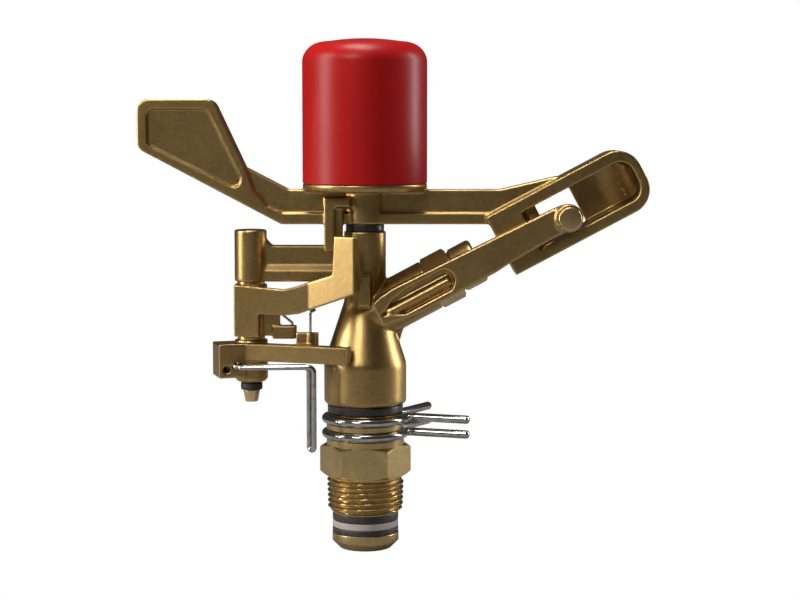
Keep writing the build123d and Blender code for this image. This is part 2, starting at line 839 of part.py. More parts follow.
with BuildPart() as reversing_lever:
    with BuildSketch(Plane.XY.offset(reversing_hub_low)):
        with BuildLine():
            Polyline(*lever_front, *lever_back, close=True)
        make_face()
    extrude(amount=40.0)
    extrude(outline(lever_side, 10.0), amount=40.0, mode=Mode.INTERSECT)
    with BuildSketch(Plane.XY.offset(reversing_hub_low)):
        with Locations((pivot_x, 0)):
            Circle(reversing_hub_radius)
    extrude(amount=reversing_hub_high - reversing_hub_low)
    # ear at the back that carries the toggle spring
    with BuildSketch(Plane.XY.offset(reversing_hub_low)):
        with Locations((pivot_x + 7.4, 0)):
            Rectangle(4.8, 6.0)
    extrude(amount=9.0)
    with BuildSketch(Plane.XY.offset(reversing_hub_low - 1.0)) as ear_outline:
        with Locations((pivot_x + 11.5, -0.5)):
            Rectangle(8.0, 6.0)
        fillet(ear_outline.vertices().sort_by(Axis.X)[-2:], 1.2)
        with Locations(toggle_eye):
            Circle(toggle_wire_radius + wire_hole_gap, mode=Mode.SUBTRACT)
    extrude(amount=lug_plate_height)
    with BuildSketch(Plane.XY.offset(reversing_hub_low)):
        with Locations((pivot_x, 0)):
            Circle(lever_bore)
    extrude(amount=reversing_hub_high - reversing_hub_low, mode=Mode.SUBTRACT)
save(reversing_lever, "reversing_lever")

# =================================================================== trip lever
trip_turn = radians(trip_yaw)
trip_knee = Vector(-40.3, -6.3)
trip_along = Vector(cos(trip_turn), -sin(trip_turn))
trip_inward = Vector(sin(trip_turn), cos(trip_turn))
trip_reach = 36.4
trip_tip = trip_knee + trip_along * trip_reach
trip_tip_back = trip_tip + trip_inward * trip_bar_thickness
trip_root_back = trip_tip_back - trip_along * (trip_reach - 6)
block_corner = Vector(-49.1, -9.0)
wire_holes = ((-44.1, 38.2), (-42.2, 38.2))
toggle_seat = (-18.4, -6.2)

with BuildPart() as trip_lever:
    with BuildSketch(Plane.XY.offset(trip_bar_high - trip_bar_height)):
        with BuildLine():
            Polyline(trip_knee, trip_tip, trip_tip_back, trip_root_back, (pivot_x, 3.0), close=True)
        make_face()
    extrude(amount=trip_bar_height)
    with BuildSketch(Plane.XY.offset(trip_bar_high - trip_block_height)):
        with BuildLine():
            Polyline(block_corner, trip_knee, (pivot_x, 0), (-40.5, 5.0), (-52.3, 1.4), close=True)
        make_face()
    extrude(amount=trip_block_height)
    with BuildSketch(Plane.XY.offset(trip_hub_low)):
        with Locations((pivot_x, 0)):
            Circle(trip_hub_radius)
    extrude(amount=trip_hub_high - trip_hub_low)
    chamfer(edges().filter_by(GeomType.CIRCLE).sort_by(Axis.Z)[0], 1.0)
    # post behind the bar that carries the toggle spring's other end
    with BuildSketch(Plane.XY.offset(trip_bar_high - trip_bar_height)):
        with Locations((-19.5, -7.4)):
            Rectangle(7.6, 6.4)
    extrude(amount=trip_bar_height)
    with BuildSketch(Plane.XY.offset(trip_bar_high)):
        with Locations((-19.5, -5.6)):
            Rectangle(7.6, 2.8)
        with Locations(toggle_seat):
            Circle(1.4)
    extrude(amount=3.8)
    with BuildSketch(Plane.XY.offset(trip_bar_high + 3.8)):
        with Locations(toggle_seat):
            Circle(toggle_wire_radius + 0.05)
    extrude(amount=-3.0, mode=Mode.SUBTRACT)
    with BuildSketch(Plane.XY.offset(trip_hub_low)):
        with Locations((pivot_x, 0)):
            Circle(lever_bore)
    extrude(amount=trip_hub_high - trip_hub_low, mode=Mode.SUBTRACT)
    # holes for the trip wire, and a spare one beside them
    with BuildSketch(front(-2.0)):
        with Locations(*wire_holes):
            Circle(trip_wire_radius + running_gap)
        with Locations((-46.7, 37.0)):
            Circle(1.2)
    extrude(amount=8.0, mode=Mode.SUBTRACT)
save(trip_lever, "trip_lever")

# =================================================================== wires
inner_leg = Vector(-18.7, -11.6)
outer_leg = Vector(-17.0, -13.4)
(inner_hole, hole_level), (outer_hole, _) = wire_holes
leg_level = 38.6

trip_wire = wire_piece(
    [
        (inner_hole, -4.0, hole_level),
        (inner_hole, -9.4, hole_level),
        (inner_leg.X, inner_leg.Y, leg_level),
        (inner_leg.X, inner_leg.Y, trip_wire_bottom),
        (outer_leg.X, outer_leg.Y, trip_wire_bottom),
        (outer_leg.X, outer_leg.Y, leg_level),
        (outer_hole, -11.6, hole_level),
        (outer_hole, -4.0, hole_level),
    ],
    [1.4, 1.8, 1.2, 1.2, 1.8, 1.4],
    trip_wire_radius,
)
save(trip_wire, "trip_wire")

ear_level = reversing_hub_low - 1.0 + lug_plate_height
loop_level = 55.2
toggle_spring = wire_piece(
    [
        (*toggle_eye, ear_level - 3.0),
        (*toggle_eye, ear_level + 1.0),
        (-28.2, -1.6, loop_level),
        (-28.8, 4.6, loop_level + 0.6),
        (-22.5, 7.0, loop_level + 0.9),
        (-17.0, 3.2, loop_level + 1.1),
        (*toggle_seat, loop_level + 1.2),
        (*toggle_seat, trip_bar_high + 1.0),
    ],
    [0.8, 1.2, 2.6, 2.8, 3.0, 0.9],
    toggle_wire_radius,
)
save(toggle_spring, "toggle_spring")

polygon_radius = collar_radius / cos(radians(collar_step_angle / 2))
collar_end_angle = collar_start_angle + collar_steps * collar_step_angle


def on_ring(angle, slide):
    """A point on the ring's tangent at an angle, slid along that tangent."""
    turn = radians(angle)
    return Vector(
        collar_radius * cos(turn) - slide * sin(turn), collar_radius * sin(turn) + slide * cos(turn)
    )


def collar_points(level):
    """Corners of a collar's path: rear tail, ring and front tail, all at one level."""
    corners = [(22.4, 27.4), on_ring(collar_start_angle, -3.0)]
    for step in range(collar_steps):
        turn = radians(collar_start_angle + (step + 0.5) * collar_step_angle)
        corners.append((polygon_radius * cos(turn), polygon_radius * sin(turn)))
    corners += [on_ring(collar_end_angle, 3.0), (35.6, -5.3)]
    return [(corner[0], corner[1], level) for corner in map(tuple, corners)]


for collar_name, collar_level in collar_heights.items():
    ring_bends = [0.985 * collar_radius] * collar_steps
    collar = wire_piece(collar_points(collar_level), [2.2, *ring_bends, 2.2], collar_wire_radius)
    save(collar, collar_name)
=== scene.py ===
"""Looks of a part-circle impact sprinkler: cast and turned brass, red cap, wire stops and soft studio light.

Sizes are millimetres in the part's own frame: +X towards the jet, +Z up the turning axis, -Y the front.
"""

from __future__ import annotations

import logging
import math
from dataclasses import dataclass, field
from enum import Enum
from typing import Any, Iterable, Mapping, Sequence

import bmesh
import bpy
from mathutils import Matrix, Vector

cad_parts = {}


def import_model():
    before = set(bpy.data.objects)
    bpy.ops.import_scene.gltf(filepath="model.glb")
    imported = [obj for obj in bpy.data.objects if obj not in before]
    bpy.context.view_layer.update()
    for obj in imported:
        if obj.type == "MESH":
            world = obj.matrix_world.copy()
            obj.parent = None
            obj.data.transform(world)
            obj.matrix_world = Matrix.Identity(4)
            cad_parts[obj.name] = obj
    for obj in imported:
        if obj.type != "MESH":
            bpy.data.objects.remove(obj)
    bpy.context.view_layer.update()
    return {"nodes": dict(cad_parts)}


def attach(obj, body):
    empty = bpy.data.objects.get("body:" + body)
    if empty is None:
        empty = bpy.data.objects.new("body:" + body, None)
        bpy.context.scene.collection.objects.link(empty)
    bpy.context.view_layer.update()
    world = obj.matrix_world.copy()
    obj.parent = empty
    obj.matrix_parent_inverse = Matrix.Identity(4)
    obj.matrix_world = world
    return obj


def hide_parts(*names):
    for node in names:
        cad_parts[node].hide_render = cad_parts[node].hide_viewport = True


LOG = logging.getLogger("sprinkler")
MM = 0.001
FRAME: dict[str, Any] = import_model()

PIVOT = (-38.9, 0.0)
SEAL_LEVELS = (-19.884, -17.884, -15.584, -12.784)
EDGE_MIDDLE = 0.51

Colour = tuple[float, float, float]
Ring = tuple[Sequence[float] | float, float]


# ------------------------------------------------------------------ shader graph
class Socket:
    """One shader output; arithmetic on it adds Math nodes."""

    def __init__(self, graph: "Graph", link: bpy.types.NodeSocket) -> None:
        """Remember the graph and the output.

        Args:
            graph: The graph that the output belongs to.
            link: The output itself.
        """
        self.graph = graph
        self.link = link

    def _math(self, operation: str, left: Any, right: Any, clamp: bool = False) -> "Socket":
        """Add one Math node.

        Args:
            operation: The node's operation.
            left: First operand, a Socket or a number.
            right: Second operand, a Socket or a number.
            clamp: Whether the result is held between 0 and 1.

        Returns:
            The node's output.
        """
        settings = {"operation": operation, "use_clamp": clamp}
        return self.graph.node("ShaderNodeMath", settings, {0: left, 1: right})

    def __add__(self, other: Any) -> "Socket":
        """Sum."""
        return self._math("ADD", self, other)

    def __radd__(self, other: Any) -> "Socket":
        """Sum, reflected."""
        return self._math("ADD", other, self)

    def __sub__(self, other: Any) -> "Socket":
        """Difference."""
        return self._math("SUBTRACT", self, other)

    def __rsub__(self, other: Any) -> "Socket":
        """Difference, reflected."""
        return self._math("SUBTRACT", other, self)

    def __mul__(self, other: Any) -> "Socket":
        """Product."""
        return self._math("MULTIPLY", self, other)

    def __rmul__(self, other: Any) -> "Socket":
        """Product, reflected."""
        return self._math("MULTIPLY", other, self)

    def __pow__(self, other: Any) -> "Socket":
        """Power."""
        return self._math("POWER", self, other)

    def __rpow__(self, other: Any) -> "Socket":
        """Power, reflected."""
        return self._math("POWER", other, self)

    def clamped(self) -> "Socket":
        """The same value held between 0 and 1."""
        return self._math("ADD", self, 0.0, clamp=True)


class Graph:
    """The node graph of one material."""

    def __init__(self, name: str) -> None:
        """Start an empty material.

        Args:
            name: The material's name.
        """
        self.material = bpy.data.materials.new(name)
        self.material.use_nodes = True
        self.tree = self.material.node_tree
        self.tree.nodes.clear()
        self.place = self.node("ShaderNodeTexCoord", {}, {}, "Object")

    def node(
        self, kind: str, settings: Mapping[str, Any], inputs: Mapping[Any, Any], output: Any = 0
    ) -> Socket:
        """Add a node, set it up and feed it.

        Args:
            kind: The node's type.
            settings: Attributes of the node; "stops" holds a ramp's places and colours.
            inputs: Socket name or index to a Socket, a number or a tuple.
            output: Name or index of the output that is wanted.

        Returns:
            The wanted output.
        """
        made = self.tree.nodes.new(kind)
        for key, value in settings.items():
            if key == "stops":
                self._set_stops(made.color_ramp, value)
            else:
                setattr(made, key, value)
        for key, value in inputs.items():
            socket = made.inputs[key]
            if isinstance(value, Socket):
                self.tree.links.new(value.link, socket)
            elif isinstance(value, tuple) and len(value) == 3 and socket.type == "RGBA":
                socket.default_value = (*value, 1.0)
            else:
                socket.default_value = value
        return Socket(self, made.outputs[output])

    @staticmethod
    def _set_stops(ramp: bpy.types.ColorRamp, stops: Sequence[tuple[float, float]]) -> None:
        """Give a ramp grey stops.

        Args:
            ramp: The ramp.
            stops: Pairs of place and grey level.
        """
        while len(ramp.elements) < len(stops):
            ramp.elements.new(0.5)
        for element, (place, grey) in zip(ramp.elements, stops):
            element.position = place
            element.color = (grey, grey, grey, 1.0)

    def noise(self, size_mm: float, detail: float = 3.0, stretch: Colour = (1.0, 1.0, 1.0)) -> Socket:
        """Noise with features of about one size.

        Args:
            size_mm: Size of a feature.
            detail: Number of finer layers.
            stretch: Factor on each coordinate; a small one draws the noise out along that axis.

        Returns:
            Noise between 0 and 1.
        """
        place = self.place
        if stretch != (1.0, 1.0, 1.0):
            place = self.node("ShaderNodeVectorMath", {"operation": "MULTIPLY"}, {0: self.place, 1: stretch})
        inputs = {"Vector": place, "Scale": 1.0 / (size_mm * MM), "Detail": detail, "Roughness": 0.6}
        return self.node("ShaderNodeTexNoise", {}, inputs, "Fac")

    def ramp(self, value: Socket, stops: Sequence[tuple[float, float]]) -> Socket:
        """Remap a value through grey stops.

        Args:
            value: What is remapped.
            stops: Pairs of place and result.

        Returns:
            The remapped value.
        """
        return self.node("ShaderNodeValToRGB", {"stops": stops}, {"Fac": value}, "Color")

    def blend(self, share: Socket | float, low: Any, high: Any) -> Socket:
        """Mix two colours.

        Args:
            share: How much of the second colour shows.
            low: First colour.
            high: Second colour.

        Returns:
            The mixed colour.
        """
        inputs = {0: share, 6: low, 7: high}
        return self.node("ShaderNodeMix", {"data_type": "RGBA", "blend_type": "MIX"}, inputs, 2)

    def edges(self, gain: float, middle: float = 0.5) -> Socket:
        """How much a place stands out as a convex edge, from the mesh's own curvature.

        Args:
            gain: Contrast.
            middle: Pointiness of flat metal.

        Returns:
            0 on flats and hollows, 1 on edges.
        """
        point = self.node("ShaderNodeNewGeometry", {}, {}, "Pointiness")
        return ((point - middle) * gain).clamped()

    def finish(
        self, colour: Any, roughness: Any, height: Socket | None, depth_mm: float, **constants: Any
    ) -> bpy.types.Material:
        """Close the graph with the surface shader.

        Args:
            colour: Base colour.
            roughness: Roughness.
            height: Relief, or None for a smooth surface.
            depth_mm: How deep the relief is.
            constants: Further sockets of the shader by name, with underscores for spaces.

        Returns:
            The finished material.
        """
        inputs: dict[str, Any] = {"Base Color": colour, "Roughness": roughness}
        inputs.update({key.replace("_", " "): value for key, value in constants.items()})
        if height is not None:
            relief = {"Height": height, "Distance": depth_mm * MM, "Strength": 1.0}
            inputs["Normal"] = self.node("ShaderNodeBump", {}, relief, "Normal")
        shader = self.node("ShaderNodeBsdfPrincipled", {}, inputs, "BSDF")
        target = self.tree.nodes.new("ShaderNodeOutputMaterial")
        self.tree.links.new(shader.link, target.inputs["Surface"])
        return self.material


# ------------------------------------------------------------------ finishes
@dataclass(frozen=True)
class CastBrass:
    """Tumbled cast brass: brown skin with a fine grain, and bright edges that are partly rubbed wear and partly a
    painted highlight.
    """

    name: str
    skin: Colour = (0.50, 0.33, 0.125)
    dark: Colour = (0.33, 0.21, 0.08)
    # Edge colour: partly rubbed wear, partly a painted highlight on the convex edges.
    edge: Colour = (0.88, 0.64, 0.27)
    roughness: float = 0.34
    grain_mm: float = 0.5
    grain_depth_mm: float = 0.05
    edge_gain: float = 8.0

    def material(self) -> bpy.types.Material:
        """Build the material."""
        graph = Graph(self.name)
        cloud = graph.noise(16.0, 3.0)
        grain = graph.noise(self.grain_mm, 2.0)
        pits = graph.noise(self.grain_mm * 2.6, 2.0)
        # Convex-edge mask: paints rubbed wear and a painted highlight in gold, and lowers roughness there.
        rubbed_edge_and_highlight = graph.edges(self.edge_gain, EDGE_MIDDLE)
        mottled = graph.ramp(cloud * 0.35 + pits * 0.3 + grain * 0.35, [(0.36, 0.0), (0.64, 1.0)])
        colour = graph.blend(mottled, self.dark, self.skin)
        colour = graph.blend((rubbed_edge_and_highlight * 0.8).clamped(), colour, self.edge)
        roughness = (self.roughness + (grain - 0.5) * 0.2 - rubbed_edge_and_highlight * 0.1).clamped()
        relief = grain * 0.7 + pits * 0.3
        return graph.finish(colour, roughness, relief, self.grain_depth_mm, Metallic=1.0)


@dataclass(frozen=True)
class TurnedBrass:
    """Brass from the lathe: bright, with fine tool lines around its axis and a little tarnish."""

    name: str
    bright: Colour = (0.60, 0.43, 0.19)
    tarnish: Colour = (0.30, 0.20, 0.09)
    roughness: float = 0.24
    line_mm: float = 0.22
    line_depth_mm: float = 0.008
    axis: Colour = (0.0, 0.0, 1.0)
    edge_gain: float = 5.0

    def material(self) -> bpy.types.Material:
        """Build the material."""
        graph = Graph(self.name)
        dotted = {0: graph.place, 1: self.axis}
        along = graph.node("ShaderNodeVectorMath", {"operation": "DOT_PRODUCT"}, dotted, "Value")
        line = graph.node("ShaderNodeCombineXYZ", {}, {"Z": along})
        inputs = {"Vector": line, "Scale": 1.0 / (self.line_mm * MM), "Detail": 3.0, "Roughness": 0.7}
        tool_lines = graph.node("ShaderNodeTexNoise", {}, inputs, "Fac")
        cloud = graph.noise(6.0, 4.0)
        specks = graph.noise(0.8, 2.0)
        # Convex-edge mask: paints rubbed wear and a painted highlight.
        rubbed_edge_and_highlight = graph.edges(self.edge_gain, EDGE_MIDDLE)
        dull = graph.ramp(cloud * 0.7 + specks * 0.3, [(0.36, 0.0), (0.72, 1.0)])
        colour = graph.blend(dull * 0.6, self.bright, self.tarnish)
        # Bright gold on the edges: partly rubbed wear, partly a painted highlight.
        colour = graph.blend((rubbed_edge_and_highlight * 0.5).clamped(), colour, (0.85, 0.66, 0.36))
        roughness = (self.roughness + dull * 0.16 + (tool_lines - 0.5) * 0.1).clamped()
        relief = tool_lines * 0.94 + specks * 0.06
        return graph.finish(colour, roughness, relief, self.line_depth_mm, Metallic=1.0)


@dataclass(frozen=True)
class MouldedPlastic:
    """Injection-moulded plastic: even colour, a soft gloss and a faint ripple."""

    name: str
    colour: Colour
    deep: Colour
    roughness: float = 0.28
    ripple_mm: float = 9.0
    ripple_depth_mm: float = 0.05
    coat: float = 0.0

    def material(self) -> bpy.types.Material:
        """Build the material."""
        graph = Graph(self.name)
        ripple = graph.noise(self.ripple_mm, 2.0)
        dust = graph.noise(0.5, 2.0)
        clouds = graph.noise(12.0, 2.0)
        colour = graph.blend(ripple, self.deep, self.colour)
        roughness = (self.roughness + (clouds - 0.5) * 0.06 + (dust - 0.5) * 0.04).clamped()
        relief = ripple * 0.9 + dust * 0.02
        return graph.finish(
            colour, roughness, relief, self.ripple_depth_mm, Specular_IOR_Level=0.22,
            Coat_Weight=self.coat, Coat_Roughness=0.08,
        )


@dataclass(frozen=True)
class BlackRubber:
    """Cut rubber or fibre: nearly black, matt, with a fine tooth."""

    name: str
    colour: Colour = (0.022, 0.018, 0.014)
    dusty: Colour = (0.060, 0.050, 0.040)
    roughness: float = 0.5

    def material(self) -> bpy.types.Material:
        """Build the material."""
        graph = Graph(self.name)
        dust = graph.noise(1.6, 4.0)
        tooth = graph.noise(0.35, 3.0)
        colour = graph.blend(graph.ramp(dust, [(0.45, 0.0), (0.75, 1.0)]), self.colour, self.dusty)
        roughness = (self.roughness + (dust - 0.5) * 0.3).clamped()
        return graph.finish(colour, roughness, tooth, 0.03)


@dataclass(frozen=True)
class DrawnWire:
    """Drawn stainless wire: smooth and mirror-like, with faint die marks and handling haze."""

    name: str
    colour: Colour = (0.52, 0.50, 0.47)
    haze: Colour = (0.34, 0.32, 0.30)
    roughness: float = 0.14

    def material(self) -> bpy.types.Material:
        """Build the material."""
        graph = Graph(self.name)
        haze = graph.noise(2.2, 4.0)
        marks = graph.noise(0.4, 3.0)
        colour = graph.blend(graph.ramp(haze, [(0.4, 0.0), (0.7, 1.0)]), self.colour, self.haze)
        roughness = (self.roughness + (haze - 0.5) * 0.16).clamped()
        return graph.finish(colour, roughness, marks, 0.006, Metallic=1.0)


JET_AXIS: Colour = (math.cos(math.radians(28.0)), 0.0, math.sin(math.radians(28.0)))


class Finish(Enum):
    """The finishes of this object."""

    CAST = CastBrass("brass_casting")
    CAST_LEVER = CastBrass("brass_lever", grain_mm=0.45, grain_depth_mm=0.035)
    TURNED = TurnedBrass("brass_turned")
    NOZZLE = TurnedBrass("nozzle_brass", axis=JET_AXIS)
    HEXAGON = TurnedBrass("hexagon_brass", line_depth_mm=0.006)
    PIN = TurnedBrass("pin_brass", bright=(0.75, 0.55, 0.27), axis=(0.0, 1.0, 0.0))
    TIP = TurnedBrass("pivot_brass", bright=(0.80, 0.58, 0.28))
    RED = MouldedPlastic("red_cap_plastic", (0.38, 0.006, 0.005), (0.34, 0.005, 0.005), 0.36)
    WHITE = MouldedPlastic("white_bush_plastic", (0.70, 0.66, 0.60), (0.60, 0.56, 0.50), 0.5, 2.0, 0.02)
    PTFE = MouldedPlastic("white_seal_plastic", (0.50, 0.44, 0.40), (0.34, 0.29, 0.25), 0.55, 1.5, 0.03)
    RUBBER = BlackRubber("black_seal_rubber")
    FIBRE = BlackRubber("black_washer_fibre", (0.016, 0.013, 0.011), (0.04, 0.034, 0.028), 0.36)
    WIRE = DrawnWire("drawn_wire")
    SPRING = DrawnWire("drawn_spring", roughness=0.2)

    def material(self) -> bpy.types.Material:
        """The finish's material, made once."""
        known = bpy.data.materials.get(self.value.name)
        return known if known else self.value.material()


# ------------------------------------------------------------------ mesh tools
def add_piece(name: str, mesh: bpy.types.Mesh, finish: Finish, sharp_deg: float = 35.0) -> bpy.types.Object:
    """Put a mesh in the scene with its finish and smooth shading.

    Args:
        name: The piece's name.
        mesh: Its mesh, in metres.
        finish: Its finish.
        sharp_deg: Edges that turn by more stay crisp.

    Returns:
        The new object.
    """
    mesh.polygons.foreach_set("use_smooth", [True] * len(mesh.polygons))
    mesh.set_sharp_from_angle(angle=math.radians(sharp_deg))
    mesh.materials.clear()
    mesh.materials.append(finish.material())
    piece = bpy.data.objects.new(name, mesh)
    bpy.context.scene.collection.objects.link(piece)
    LOG.info("%s: %d faces", name, len(mesh.polygons))
    return piece


def round_profile(profile: Sequence[tuple[float, float, float]], steps: int = 5) -> list[tuple[float, float]]:
    """Round the corners of a closed profile.

    Args:
        profile: Corners as radius, height and corner radius.
        steps: Segments of each rounded corner.

    Returns:
        Points as radius and height.
    """
    points: list[tuple[float, float]] = []
    count = len(profile)
    for index, (x, y, radius) in enumerate(profile):
        here = Vector((x, y))
        before = Vector(profile[index - 1][:2]) - here
        after = Vector(profile[(index + 1) % count][:2]) - here
        if radius <= 0 or min(before.length, after.length) < 1e-6:
            points.append((x, y))
            continue
        half = before.angle(after) / 2
        reach = min(radius / math.tan(half), before.length * 0.49, after.length * 0.49)
        start = here + before.normalized() * reach
        end = here + after.normalized() * reach
        for step in range(steps + 1):
            share = step / steps
            point = start * (1 - share) ** 2 + here * 2 * share * (1 - share) + end * share**2
            points.append((point.x, point.y))
    return points


def axis_frame(origin: Vector, axis: Vector, side: Vector) -> Matrix:
    """A matrix whose z runs along an axis and whose x points to a side.

    Args:
        origin: Where the axis starts.
        axis: Its direction.
        side: A direction across it.

    Returns:
        The matrix, in millimetres.
    """
    along = axis.normalized()
    across = (side - along * side.dot(along)).normalized()
    matrix = Matrix((across, along.cross(across), along)).transposed().to_4x4()
    matrix.translation = origin
    return matrix


UPRIGHT = Matrix.Identity(4)


def ring_mesh(name: str, rings: Sequence[Ring], turns: int, place: Matrix, closed: bool) -> bpy.types.Mesh:
    """Skin a stack of rings around an axis.

    Args:
        name: The mesh's name.
        rings: Each ring's radius, or one radius for each step around it, and its height.
        turns: Steps around.
        place: Frame of the axis, in millimetres.
        closed: Whether the last ring joins the first one, as around a bore.

    Returns:
        The mesh, in metres.
    """
    build = bmesh.new()
    stacks: list[list[bmesh.types.BMVert]] = []
    for radii, height in rings:
        if isinstance(radii, float) and radii < 1e-6:
            stacks.append([build.verts.new(place @ Vector((0, 0, height)) * MM)] * turns)
            continue
        loop = []
        for step in range(turns):
            turn = math.tau * step / turns
            radius = radii if isinstance(radii, float) else radii[step]
            spot = Vector((radius * math.cos(turn), radius * math.sin(turn), height))
            loop.append(build.verts.new(place @ spot * MM))
        stacks.append(loop)
    pairs = list(zip(stacks, stacks[1:]))
    if closed:
        pairs.append((stacks[-1], stacks[0]))
    for low, high in pairs:
        for step in range(turns):
            follow = (step + 1) % turns
            corners = list(dict.fromkeys((low[step], low[follow], high[follow], high[step])))
            if len(corners) > 2:
                build.faces.new(corners)
    bmesh.ops.recalc_face_normals(build, faces=build.faces)
    mesh = bpy.data.meshes.new(name)
    build.to_mesh(mesh)
    build.free()
    return mesh


def lathe(
    name: str,
    profile: Sequence[tuple[float, float, float]],
    finish: Finish,
    place: Matrix = UPRIGHT,
    turns: int = 128,
) -> bpy.types.Object:
    """Turn a profile with rounded corners around an axis.

    Args:
        name: The piece's name.
        profile: Corners as radius, height and corner radius; a solid piece starts and ends at radius 0.
        finish: The piece's finish.
        place: Frame of the axis.
        turns: Steps around.

    Returns:
        The new piece.
    """
    solid = profile[0][0] == 0
    rings: list[Ring] = [(float(radius), height) for radius, height in round_profile(profile)]
    return add_piece(name, ring_mesh(name, rings, turns, place, not solid), finish)


def bent_path(corners: Sequence[Vector], radii: Sequence[float], steps: int = 10) -> list[Vector]:
    """Round each inner corner of a path by a tangent arc.

    Args:
        corners: The path's corners.
        radii: Bend radius at each inner corner.
        steps: Segments of a right-angled bend.

    Returns:
        Points along the rounded path.
    """
    points = [corners[0].copy()]
    for before, here, after, radius in zip(corners, corners[1:], corners[2:], radii):
        back = (before - here).normalized()
        ahead = (after - here).normalized()
        half = back.angle(ahead) / 2
        reach = radius / math.tan(half)
        centre = here + (back + ahead).normalized() * (radius / math.sin(half))
        start = here + back * reach - centre
        normal = start.cross(here + ahead * reach - centre).normalized()
        sweep = math.pi - 2 * half
        count = max(3, math.ceil(steps * sweep / (math.pi / 2) * max(1.0, radius / 4)))
        for step in range(count + 1):
            points.append(centre + Matrix.Rotation(sweep * step / count, 3, normal) @ start)
    points.append(corners[-1].copy())
    return points


def wire_mesh(name: str, path: Sequence[Vector], radius: float, around: int = 20) -> bpy.types.Mesh:
    """Sweep a round wire with domed ends along a path.

    Args:
        name: The mesh's name.
        path: Points along the wire's middle.
        radius: The wire's radius.
        around: Steps around the wire.

    Returns:
        The mesh, in metres.
    """
    build = bmesh.new()
    tangents = []
    for index in range(len(path)):
        ahead = path[min(index + 1, len(path) - 1)]
        back = path[max(index - 1, 0)]
        tangents.append((ahead - back).normalized())
    side = tangents[0].orthogonal().normalized()
    loops: list[list[bmesh.types.BMVert]] = []

    def add_loop(centre: Vector, tangent: Vector, size: float) -> None:
        """Add one loop of vertices across the wire."""
        across = tangent.cross(side)
        turns = [math.tau * k / around for k in range(around)]
        spots = [centre + (side * math.cos(turn) + across * math.sin(turn)) * size for turn in turns]
        loops.append([build.verts.new(spot * MM) for spot in spots])

    dome = [0.12, 0.45, 0.75, 0.93]
    for size in dome:
        inward = 1 - math.sqrt(1 - size * size)
        add_loop(path[0] + tangents[0] * radius * 0.7 * inward, tangents[0], radius * size)
    for index, point in enumerate(path):
        if index:
            side = (side - tangents[index] * side.dot(tangents[index])).normalized()
        edge_shift = tangents[0] * radius * 0.7 if index == 0 else Vector()
        edge_shift = -tangents[-1] * radius * 0.7 if index == len(path) - 1 else edge_shift
        add_loop(point + edge_shift, tangents[index], radius)
    for size in reversed(dome):
        inward = 1 - math.sqrt(1 - size * size)
        add_loop(path[-1] - tangents[-1] * radius * 0.7 * inward, tangents[-1], radius * size)
    for low, high in zip(loops, loops[1:]):
        for step in range(around):
            follow = (step + 1) % around
            build.faces.new((low[step], low[follow], high[follow], high[step]))
    build.faces.new(loops[0])
    build.faces.new(loops[-1])
    bmesh.ops.recalc_face_normals(build, faces=build.faces)
    mesh = bpy.data.meshes.new(name)
    build.to_mesh(mesh)
    build.free()
    return mesh


def cast_copy(name: str, node: str, finish: Finish, voxel_mm: float, passes: int) -> bpy.types.Object:
    """Round a CAD solid's edges as a casting's are, by a remesh and a few smoothing passes.

    Args:
        name: The new piece's name.
        node: The CAD node that is copied.
        finish: The piece's finish.
        voxel_mm: Size of the remesh's cells.
        passes: Smoothing passes.

    Returns:
        The new piece, which stands for the node.
    """
    source = FRAME["nodes"][node]
    mesh = source.data.copy()
    mesh.transform(source.matrix_world)
    build = bmesh.new()
    build.from_mesh(mesh)
    bmesh.ops.remove_doubles(build, verts=build.verts, dist=1e-6)
    build.to_mesh(mesh)
    build.free()
    draft = bpy.data.objects.new(f"{name}_draft", mesh)
    bpy.context.scene.collection.objects.link(draft)
    remesh = draft.modifiers.new("cells", "REMESH")
    remesh.mode = "VOXEL"
    remesh.voxel_size = voxel_mm * MM
    smooth = draft.modifiers.new("tumble", "SMOOTH")
    smooth.factor = 0.5
    smooth.iterations = passes
    evaluated = draft.evaluated_get(bpy.context.evaluated_depsgraph_get())
    rounded = bpy.data.meshes.new_from_object(evaluated)
    bpy.data.objects.remove(draft)
    piece = add_piece(name, rounded, finish, 80.0)
    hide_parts(node)
    return piece


def dress(node: str, finish: Finish) -> None:
    """Give a CAD node that stays visible its finish.

    Args:
        node: The node's name.
        finish: Its finish.
    """
    mesh_object = FRAME["nodes"][node]
    for index in range(max(1, len(mesh_object.material_slots))):
        if mesh_object.material_slots:
            mesh_object.material_slots[index].material = finish.material()
        else:
            mesh_object.data.materials.append(finish.material())
    LOG.info("%s keeps its CAD shape", node)


